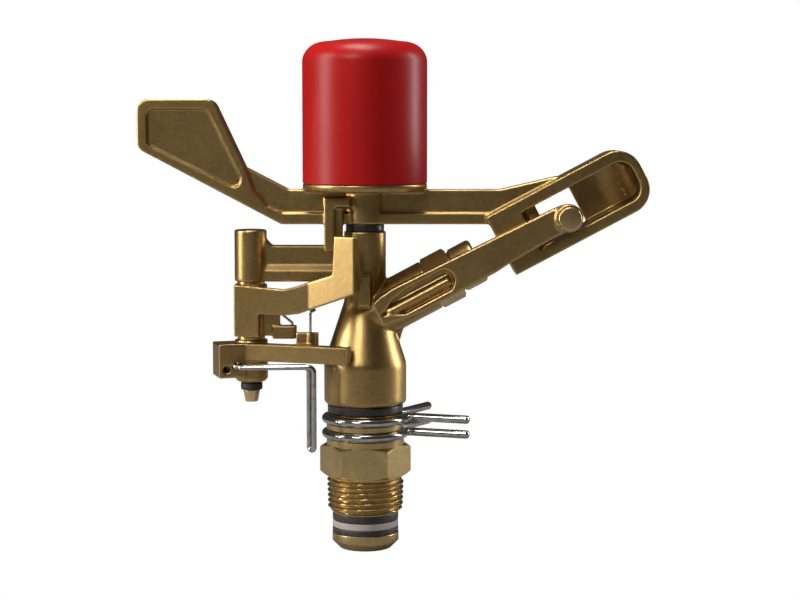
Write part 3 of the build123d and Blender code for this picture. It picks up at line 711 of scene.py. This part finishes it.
# ------------------------------------------------------------------ sub-assemblies
@dataclass
class InletNipple:
    """Nipple with taper thread, hexagon and grooved neck."""

    flats: float = 27.0
    hexagon_height: float = 10.6
    neck_radius: float = 13.3
    top: float = 21.4
    bottom: float = -12.784
    tail_radius: float = 11.3
    thread_radius: float = 13.22
    thread_depth: float = 1.16
    pitch: float = 1.814
    relief: float = 0.9
    cavity_radius: float = 10.4
    cavity_floor: float = 4.8
    bore: float = 8.1
    groove_levels: tuple[float, float] = (14.4, 19.5)
    groove_radius: float = 1.65
    groove_centre: float = 13.45
    turns: int = 288
    row_mm: float = 0.12

    def _hexagon(self, turn: float, height: float) -> float:
        """Radius of the chamfered hexagon.

        Args:
            turn: Angle around the axis.
            height: Height above the thread.

        Returns:
            The radius there.
        """
        sector = math.radians(60.0)
        off = (turn - math.radians(60.0)) % sector - sector / 2
        flat = self.flats / 2 / math.cos(off)
        edge = min(height, self.hexagon_height - height)
        cone = self.flats / 2 + 0.1 + edge * 1.75
        sharp = 0.06
        return (flat + cone - math.sqrt((flat - cone) ** 2 + sharp**2)) / 2

    def _thread(self, turn: float, height: float) -> float:
        """Radius of the helical thread.

        Args:
            turn: Angle around the axis.
            height: Height, below the hexagon.

        Returns:
            The radius there.
        """
        crest = self.thread_radius + height / 32
        phase = (height / self.pitch - turn / math.tau) % 1.0
        rise = 1 - abs(2 * phase - 1)
        rise = min(1.0, max(0.0, (rise - 0.12) / 0.74))
        rise = rise * rise * (3 - 2 * rise) * 0.35 + rise * 0.65
        runout = min(1.0, max(0.0, (-height - self.relief) / 0.7))
        lead = self.tail_radius + 0.1 + (height - self.bottom - 0.35) * 1.5
        return min(crest - self.thread_depth * (1 - rise * runout), max(self.tail_radius, lead))

    def _neck(self, height: float) -> float:
        """Radius of the neck with its two grooves.

        Args:
            height: Height above the thread.

        Returns:
            The radius there.
        """
        radius = self.neck_radius - max(0.0, 0.4 - (self.top - height))
        for level in self.groove_levels:
            off = abs(height - level)
            if off < self.groove_radius:
                groove = self.groove_centre - math.sqrt(self.groove_radius**2 - off**2)
                radius = min(radius, groove)
        return radius

    def _rows(self, low: float, high: float) -> list[float]:
        """Evenly spaced heights between two levels."""
        count = max(2, math.ceil((high - low) / self.row_mm))
        return [low + (high - low) * step / count for step in range(count + 1)]

    def build(self) -> None:
        """Build the nipple."""
        angles = [math.tau * step / self.turns for step in range(self.turns)]
        rings: list[Ring] = []
        for height in self._rows(self.bottom, -self.relief):
            rings.append(([self._thread(turn, height) for turn in angles], height))
        root = self.thread_radius - self.thread_depth
        rings += [(root, -0.25), (root + 0.25, 0.0)]
        for height in self._rows(0.0, self.hexagon_height):
            rings.append(([self._hexagon(turn, height) for turn in angles], height))
        for height in self._rows(self.hexagon_height, self.top):
            rings.append((self._neck(height), height))
        rings += [(self.cavity_radius, self.top), (self.cavity_radius, self.cavity_floor)]
        rings += [(self.bore, self.cavity_floor), (self.bore, self.bottom)]
        mesh = ring_mesh("inlet_nipple_turned", rings, self.turns, UPRIGHT, True)
        piece = add_piece("inlet_nipple_turned", mesh, Finish.HEXAGON, 28.0)
        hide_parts("inlet_nipple")
        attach(piece, "inlet")


@dataclass
class RingSpec:
    """A plain ring of one of the stacks."""

    node: str
    outer: float
    inner: float
    low: float
    high: float
    body: str
    slot: str
    finish: Finish
    round_mm: float = 0.3
    centre: tuple[float, float] = (0.0, 0.0)


@dataclass
class RingStack:
    """The washers, seals and plain rings, each with softly rounded rims."""

    rings: list[RingSpec] = field(
        default_factory=lambda: [
            RingSpec("upper_seal_washer", 11.3, 8.3, *SEAL_LEVELS[2:], "inlet", "black_rubber", Finish.RUBBER, 0.5),
            RingSpec("slip_washer", 11.3, 8.3, *SEAL_LEVELS[1:3], "inlet", "white_ptfe", Finish.PTFE, 0.35),
            RingSpec("lower_seal_washer", 11.3, 8.3, *SEAL_LEVELS[:2], "inlet", "black_rubber", Finish.RUBBER, 0.45),
            RingSpec("dust_washer", 12.9, 8.3, 21.7, 24.5, "inlet", "black_washer", Finish.FIBRE, 0.5),
            RingSpec("arm_washer", 6.5, 3.5, 83.6, 86.1, "head", "black_washer", Finish.FIBRE, 0.4),
            RingSpec(
                "upper_pivot_washer", 4.7, 2.95, 65.6, 66.5,
                "head", "machined_brass", Finish.TURNED, 0.2, PIVOT,
            ),
            RingSpec(
                "lower_pivot_washer", 4.7, 2.95, 46.6, 48.0,
                "head", "machined_brass", Finish.TURNED, 0.25, PIVOT,
            ),
            RingSpec(
                "pivot_retaining_ring", 3.7, 2.2, 29.3, 31.9,
                "head", "black_rubber", Finish.RUBBER, 0.6, PIVOT,
            ),
        ]
    )

    def build(self) -> None:
        """Build every ring."""
        for ring in self.rings:
            corner = ring.round_mm
            profile = [
                (ring.inner, ring.low, 0.1),
                (ring.outer, ring.low, corner),
                (ring.outer, ring.high, corner),
                (ring.inner, ring.high, 0.1),
            ]
            place = Matrix.Translation((*ring.centre, 0.0))
            piece = lathe(f"{ring.node}_rounded", profile, ring.finish, place, 96)
            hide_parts(ring.node)
            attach(piece, ring.body)


@dataclass
class BearingTube:
    """Turning tube whose chamfered flange shows under the seals."""

    radius: float = 8.0
    bore: float = 6.0
    flange: float = 11.4
    low: float = -25.384
    shelf: float = -19.884
    top: float = 40.5

    def build(self) -> None:
        """Build the tube."""
        profile = [
            (self.bore, self.low, 0.3),
            (self.flange - 2.6, self.low, 0.5),
            (self.flange, self.low + 2.6, 0.5),
            (self.flange, self.shelf, 0.25),
            (self.radius, self.shelf, 0.0),
            (self.radius, self.top, 0.2),
            (self.bore, self.top, 0.2),
        ]
        piece = lathe("bearing_tube_turned", profile, Finish.TURNED)
        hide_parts("bearing_tube")
        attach(piece, "head")


@dataclass
class BodyCasting:
    """The cast body with its branch, bridge and lever bracket."""

    voxel: float = 0.33
    passes: int = 10

    def build(self) -> None:
        """Build the casting."""
        piece = cast_copy("body_casting", "sprinkler_body", Finish.CAST, self.voxel, self.passes)
        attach(piece, "head")


@dataclass
class JetNozzle:
    """Nozzle with a hexagon, a notch and a round tip, along the inclined jet."""

    hexagon_start: float = 25.4
    hexagon_end: float = 34.7
    hexagon_radius: float = 9.3
    tip_radius: float = 7.8
    end: float = 43.7
    notch: float = 0.7
    shank: float = 5.8
    shank_start: float = 15.4
    exit_radius: float = 2.8
    height: float = 53.4
    turns: int = 180

    def _hexagon(self, turn: float, along: float) -> float:
        """Radius of the chamfered hexagon.

        Args:
            turn: Angle around the jet, 0 towards the front.
            along: Distance along the jet.

        Returns:
            The radius there.
        """
        sector = math.radians(60.0)
        off = turn % sector
        off = min(off, sector - off)
        flats = self.hexagon_radius * math.cos(sector / 2)
        flat = flats / math.cos(off)
        edge = min(along - self.hexagon_start, self.hexagon_end - along)
        cone = flats + 0.15 + edge * 1.6
        sharp = 0.08
        return (flat + cone - math.sqrt((flat - cone) ** 2 + sharp**2)) / 2

    def build(self) -> None:
        """Build the nozzle."""
        place = axis_frame(Vector((0, 0, self.height)), Vector(JET_AXIS), Vector((0, 1, 0)))
        angles = [math.tau * step / self.turns for step in range(self.turns)]
        rings: list[Ring] = [(self.shank, self.shank_start), (self.shank, self.hexagon_start)]
        rows = 64
        for row in range(rows + 1):
            along = self.hexagon_start + (self.hexagon_end - self.hexagon_start) * row / rows
            rings.append(([self._hexagon(turn, along) for turn in angles], along))
        root = self.tip_radius - self.notch
        tip = [
            (root, self.hexagon_end, 0.1),
            (root, self.hexagon_end + 0.5, 0.2),
            (self.tip_radius, self.hexagon_end + 0.5 + self.notch, 0.2),
            (self.tip_radius, self.end, 1.5),
            (self.exit_radius + 0.4, self.end, 0.2),
            (self.exit_radius, self.end - 0.4, 0.2),
            (self.exit_radius, self.end - 6.0, 0.3),
            (4.6, self.shank_start, 0.0),
        ]
        rings += [(float(radius), along) for radius, along in round_profile(tip, 8)]
        mesh = ring_mesh("nozzle_turned", rings, self.turns, place, True)
        piece = add_piece("nozzle_turned", mesh, Finish.NOZZLE, 28.0)
        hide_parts("nozzle")
        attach(piece, "head")


@dataclass
class JetBreaker:
    """Pin with a chamfered head through the end of the bridge."""

    x: float = 68.2
    z: float = 88.6
    seat: float = -15.0
    head_radius: float = 3.9
    head_height: float = 3.2
    radius: float = 2.0
    tip: float = -1.5

    def build(self) -> None:
        """Build the pin."""
        place = axis_frame(Vector((self.x, 0, self.z)), Vector((0, 1, 0)), Vector((1, 0, 0)))
        face = self.seat - self.head_height
        profile = [
            (0.0, face, 0.0),
            (self.head_radius, face, 0.6),
            (self.head_radius, self.seat, 0.3),
            (self.radius, self.seat, 0.1),
            (self.radius, self.tip, 0.5),
            (0.0, self.tip, 0.0),
        ]
        piece = lathe("jet_breaker_turned", profile, Finish.PIN, place, 96)
        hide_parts("jet_breaker_pin")
        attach(piece, "jet_breaker")


@dataclass
class ArmUnit:
    """The impact arm casting with its bushes and spring."""

    voxel: float = 0.33
    passes: int = 10

    def build(self) -> None:
        """Build the arm."""
        piece = cast_copy("arm_casting", "impact_arm", Finish.CAST, self.voxel, self.passes)
        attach(piece, "arm")
        dress("lower_arm_bush", Finish.WHITE)
        dress("upper_arm_bush", Finish.WHITE)
        dress("arm_spring", Finish.SPRING)
        dress("arm_shaft", Finish.SPRING)
        dress("spring_holder", Finish.TURNED)
        dress("shaft_nut", Finish.TURNED)


@dataclass
class SpringCap:
    """Red moulded cap with a crowned top."""

    radius: float = 21.1
    low: float = 99.8
    top: float = 148.5
    shoulder: float = 8.0
    crown: float = 1.1
    wall: float = 1.6

    def _dome(self, radius: float, top: float, shoulder: float) -> list[tuple[float, float]]:
        """Outline from the wall over the shoulder to the middle of the crown.

        Args:
            radius: Radius of the wall.
            top: Height of the crown's middle.
            shoulder: Radius of the shoulder.

        Returns:
            Points as radius and height.
        """
        flat = radius - shoulder
        points = []
        for step in range(17):
            turn = math.pi / 2 * step / 16
            rise = (shoulder - self.crown) * math.sin(turn)
            bulge = self.crown * (1 - math.cos(turn)) * 0.35
            points.append((flat + shoulder * math.cos(turn), top - shoulder + rise + bulge * (1 - step / 16)))
        last = points[-1][1]
        for step in range(1, 9):
            share = step / 8
            points.append((flat * (1 - share), last + (top - last) * (1 - (1 - share) ** 2)))
        return points

    def build(self) -> None:
        """Build the cap."""
        outer = [(self.radius - 0.25, self.low), (self.radius, self.low + 0.3)]
        outer += [(self.radius, self.low + 4.0), (self.radius, self.low + 20.0)]
        outer += self._dome(self.radius, self.top, self.shoulder)
        inner = self._dome(self.radius - self.wall, self.top - self.wall, self.shoulder - self.wall)
        rings: list[Ring] = [(float(radius), height) for radius, height in outer]
        rings += [(float(radius), height) for radius, height in reversed(inner)]
        rings.append((self.radius - self.wall, self.low))
        mesh = ring_mesh("cap_moulded", rings, 192, UPRIGHT, True)
        piece = add_piece("cap_moulded", mesh, Finish.RED)
        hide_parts("spring_cap")
        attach(piece, "arm")


@dataclass
class LeverPair:
    """The reversing lever and the trip lever on their pin."""

    pivot: float = -38.9
    voxel: float = 0.26
    passes: int = 8

    def build(self) -> None:
        """Build both levers and the pin."""
        upper = cast_copy("reversing_casting", "reversing_lever", Finish.CAST_LEVER, self.voxel, self.passes)
        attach(upper, "reversing")
        lower = cast_copy("trip_casting", "trip_lever", Finish.CAST_LEVER, self.voxel, self.passes)
        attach(lower, "trip")
        profile = [
            (0.0, 25.2, 0.0),
            (2.15, 25.2, 0.4),
            (2.9, 29.3, 0.2),
            (2.2, 29.3, 0.1),
            (2.2, 31.9, 0.1),
            (2.9, 31.9, 0.15),
            (2.9, 75.5, 0.2),
            (0.0, 75.5, 0.0),
        ]
        place = Matrix.Translation((self.pivot, 0.0, 0.0))
        pin = lathe("pivot_pin_turned", profile, Finish.TIP, place, 64)
        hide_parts("pivot_pin")
        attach(pin, "head")


@dataclass
class WireWork:
    """The trip wire, the toggle spring and the two friction collars."""

    trip_radius: float = 0.875
    toggle_radius: float = 0.425
    collar_wire: float = 1.45
    collar_radius: float = 13.45
    collar_start: float = 52.0
    collar_step: float = 38.0
    collar_steps: int = 8
    levels: dict[str, float] = field(default_factory=lambda: {"upper": 19.5, "lower": 14.4})

    def _piece(
        self,
        name: str,
        corners: Iterable[Sequence[float]],
        bends: Sequence[float],
        radius: float,
        node: str,
        body: str,
    ) -> None:
        """Build one bent wire.

        Args:
            name: The piece's name.
            corners: Corners of the wire's route.
            bends: Bend radius at each inner corner.
            radius: The wire's radius.
            node: The CAD node that it stands for.
            body: The body that it rides on.
        """
        path = bent_path([Vector(corner) for corner in corners], bends)
        piece = add_piece(name, wire_mesh(name, path, radius), Finish.WIRE, 60.0)
        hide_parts(node)
        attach(piece, body)

    def _tangent_point(self, angle: float, slide: float) -> tuple[float, float]:
        """A point on a collar's tangent.

        Args:
            angle: Where the tangent touches, in degrees.
            slide: Distance along the tangent.

        Returns:
            The point's x and y.
        """
        turn = math.radians(angle)
        x = self.collar_radius * math.cos(turn) - slide * math.sin(turn)
        y = self.collar_radius * math.sin(turn) + slide * math.cos(turn)
        return x, y

    def _collar(self, name: str, level: float) -> None:
        """Build one friction collar.

        Args:
            name: Which collar, upper or lower.
            level: Its height.
        """
        corners = [(22.4, 27.4), self._tangent_point(self.collar_start, -3.0)]
        reach = self.collar_radius / math.cos(math.radians(self.collar_step / 2))
        for step in range(self.collar_steps):
            turn = math.radians(self.collar_start + (step + 0.5) * self.collar_step)
            corners.append((reach * math.cos(turn), reach * math.sin(turn)))
        end = self.collar_start + self.collar_steps * self.collar_step
        corners += [self._tangent_point(end, 3.0), (35.6, -5.3)]
        bends = [2.2, *[0.985 * self.collar_radius] * self.collar_steps, 2.2]
        route = [(x, y, level) for x, y in corners]
        self._piece(f"{name}_collar_wire", route, bends, self.collar_wire, f"{name}_collar", f"{name}_stop")

    def build(self) -> None:
        """Build every wire."""
        trip = [
            (-44.1, -4.0, 38.2),
            (-44.1, -9.4, 38.2),
            (-18.7, -11.6, 38.6),
            (-18.7, -11.6, 10.4),
            (-17.0, -13.4, 10.4),
            (-17.0, -13.4, 38.6),
            (-42.2, -11.6, 38.2),
            (-42.2, -4.0, 38.2),
        ]
        bends = [1.4, 1.8, 1.2, 1.2, 1.8, 1.4]
        self._piece("trip_wire_bent", trip, bends, self.trip_radius, "trip_wire", "trip")
        toggle = [
            (-24.8, -1.0, 48.3),
            (-24.8, -1.0, 52.3),
            (-28.2, -1.6, 55.2),
            (-28.8, 4.6, 55.8),
            (-22.5, 7.0, 56.1),
            (-17.0, 3.2, 56.3),
            (-18.4, -6.2, 56.4),
            (-18.4, -6.2, 46.7),
        ]
        bends = [0.8, 1.2, 2.6, 2.8, 3.0, 0.9]
        self._piece("toggle_spring_bent", toggle, bends, self.toggle_radius, "toggle_spring", "trip")
        for name, level in self.levels.items():
            self._collar(name, level)
        dress("bearing_spring", Finish.SPRING)
        dress("spring_seat_washer", Finish.TURNED)
        dress("stream_straightener", Finish.WHITE)


# ------------------------------------------------------------------ studio
@dataclass
class Softbox:
    """One rectangular studio light."""

    name: str
    place: tuple[float, float, float]
    aim: tuple[float, float, float]
    size: tuple[float, float]
    power: float
    tint: Colour = (1.0, 1.0, 1.0)

    def build(self) -> None:
        """Hang the light and point it."""
        light = bpy.data.lights.new(self.name, "AREA")
        light.shape = "RECTANGLE"
        light.size, light.size_y = self.size
        light.energy = self.power
        light.color = self.tint
        lamp = bpy.data.objects.new(self.name, light)
        lamp.location = self.place
        direction = Vector(self.aim) - Vector(self.place)
        lamp.rotation_euler = direction.to_track_quat("-Z", "Y").to_euler()
        bpy.context.scene.collection.objects.link(lamp)


@dataclass
class Studio:
    """Camera, plain floor and soft lights."""

    eye: tuple[float, float, float] = (0.0119, -0.645, 0.1238)
    pitch_deg: float = 5.65
    lens: float = 85.5
    floor_level: float = -0.0256
    boxes: list[Softbox] = field(
        default_factory=lambda: [
            Softbox("key_left", (-0.75, -0.18, 0.32), (0, 0, 0.08), (0.22, 0.65), 6.0),
            Softbox("top", (-0.05, -0.02, 0.75), (0, 0, 0.08), (0.35, 0.22), 4.0),
            Softbox("rim_right", (0.75, 0.20, 0.25), (0, 0, 0.08), (0.12, 0.60), 4.0),
            Softbox("fill_front", (-0.35, -0.75, 0.62), (0, 0, 0.11), (0.30, 0.30), 3.4),
        ]
    )

    def _world(self) -> None:
        """Dim surroundings for the reflections, lighter above, and white behind the object."""
        world = bpy.data.worlds.new("studio")
        bpy.context.scene.world = world
        world.use_nodes = True
        tree = world.node_tree
        tree.nodes.clear()
        place = tree.nodes.new("ShaderNodeTexCoord")
        split = tree.nodes.new("ShaderNodeSeparateXYZ")
        tree.links.new(place.outputs["Generated"], split.inputs[0])
        ramp = tree.nodes.new("ShaderNodeValToRGB")
        ramp.color_ramp.interpolation = "EASE"
        stops = [(0.0, 0.02), (0.42, 0.03), (0.55, 0.05), (0.75, 0.06), (1.0, 0.14)]
        while len(ramp.color_ramp.elements) < len(stops):
            ramp.color_ramp.elements.new(0.5)
        for element, (spot, grey) in zip(ramp.color_ramp.elements, stops):
            element.position = spot
            element.color = (grey, grey, grey, 1.0)
        lift = tree.nodes.new("ShaderNodeMapRange")
        lift.inputs["From Min"].default_value = -1.0
        tree.links.new(split.outputs["Z"], lift.inputs["Value"])
        tree.links.new(lift.outputs["Result"], ramp.inputs["Fac"])
        around = tree.nodes.new("ShaderNodeBackground")
        tree.links.new(ramp.outputs["Color"], around.inputs["Color"])
        behind = tree.nodes.new("ShaderNodeBackground")
        behind.inputs["Color"].default_value = (1.0, 1.0, 1.0, 1.0)
        path = tree.nodes.new("ShaderNodeLightPath")
        mix = tree.nodes.new("ShaderNodeMixShader")
        output = tree.nodes.new("ShaderNodeOutputWorld")
        tree.links.new(path.outputs["Is Camera Ray"], mix.inputs[0])
        tree.links.new(around.outputs[0], mix.inputs[1])
        tree.links.new(behind.outputs[0], mix.inputs[2])
        tree.links.new(mix.outputs[0], output.inputs["Surface"])

    def _floor(self) -> None:
        """A floor that looks white in the picture and dark in the reflections."""
        mesh = bpy.data.meshes.new("studio_floor")
        span = 3.0
        corners = [(-span, -span), (span, -span), (span, span), (-span, span)]
        mesh.from_pydata([(x, y, self.floor_level) for x, y in corners], [], [(0, 1, 2, 3)])
        material = bpy.data.materials.new("studio_floor")
        material.use_nodes = True
        tree = material.node_tree
        tree.nodes.clear()
        grey = tree.nodes.new("ShaderNodeBsdfDiffuse")
        grey.inputs["Color"].default_value = (0.30, 0.30, 0.30, 1.0)
        white = tree.nodes.new("ShaderNodeEmission")
        path = tree.nodes.new("ShaderNodeLightPath")
        mix = tree.nodes.new("ShaderNodeMixShader")
        output = tree.nodes.new("ShaderNodeOutputMaterial")
        tree.links.new(path.outputs["Is Camera Ray"], mix.inputs[0])
        tree.links.new(grey.outputs[0], mix.inputs[1])
        tree.links.new(white.outputs[0], mix.inputs[2])
        tree.links.new(mix.outputs[0], output.inputs["Surface"])
        mesh.materials.append(material)
        floor = bpy.data.objects.new("studio_floor", mesh)
        bpy.context.scene.collection.objects.link(floor)

    def build(self) -> None:
        """Set up the camera, the floor and the lights."""
        camera = bpy.data.objects.new("camera", bpy.data.cameras.new("camera"))
        camera.data.lens = self.lens
        camera.data.clip_start = 0.01
        camera.location = self.eye
        camera.rotation_euler = (math.radians(90.0 - self.pitch_deg), 0.0, 0.0)
        bpy.context.scene.collection.objects.link(camera)
        bpy.context.scene.camera = camera
        bpy.context.scene.view_settings.view_transform = "Standard"
        self._world()
        self._floor()
        for box in self.boxes:
            box.build()


def main() -> None:
    """Build every sub-assembly in order."""
    logging.basicConfig(level=logging.INFO, format="%(message)s")
    units = [
        Studio(),
        InletNipple(),
        RingStack(),
        BearingTube(),
        BodyCasting(),
        JetNozzle(),
        JetBreaker(),
        ArmUnit(),
        SpringCap(),
        LeverPair(),
        WireWork(),
    ]
    for unit in units:
        LOG.info("building %s", type(unit).__name__)
        unit.build()


if __name__ == "__main__":
    main()
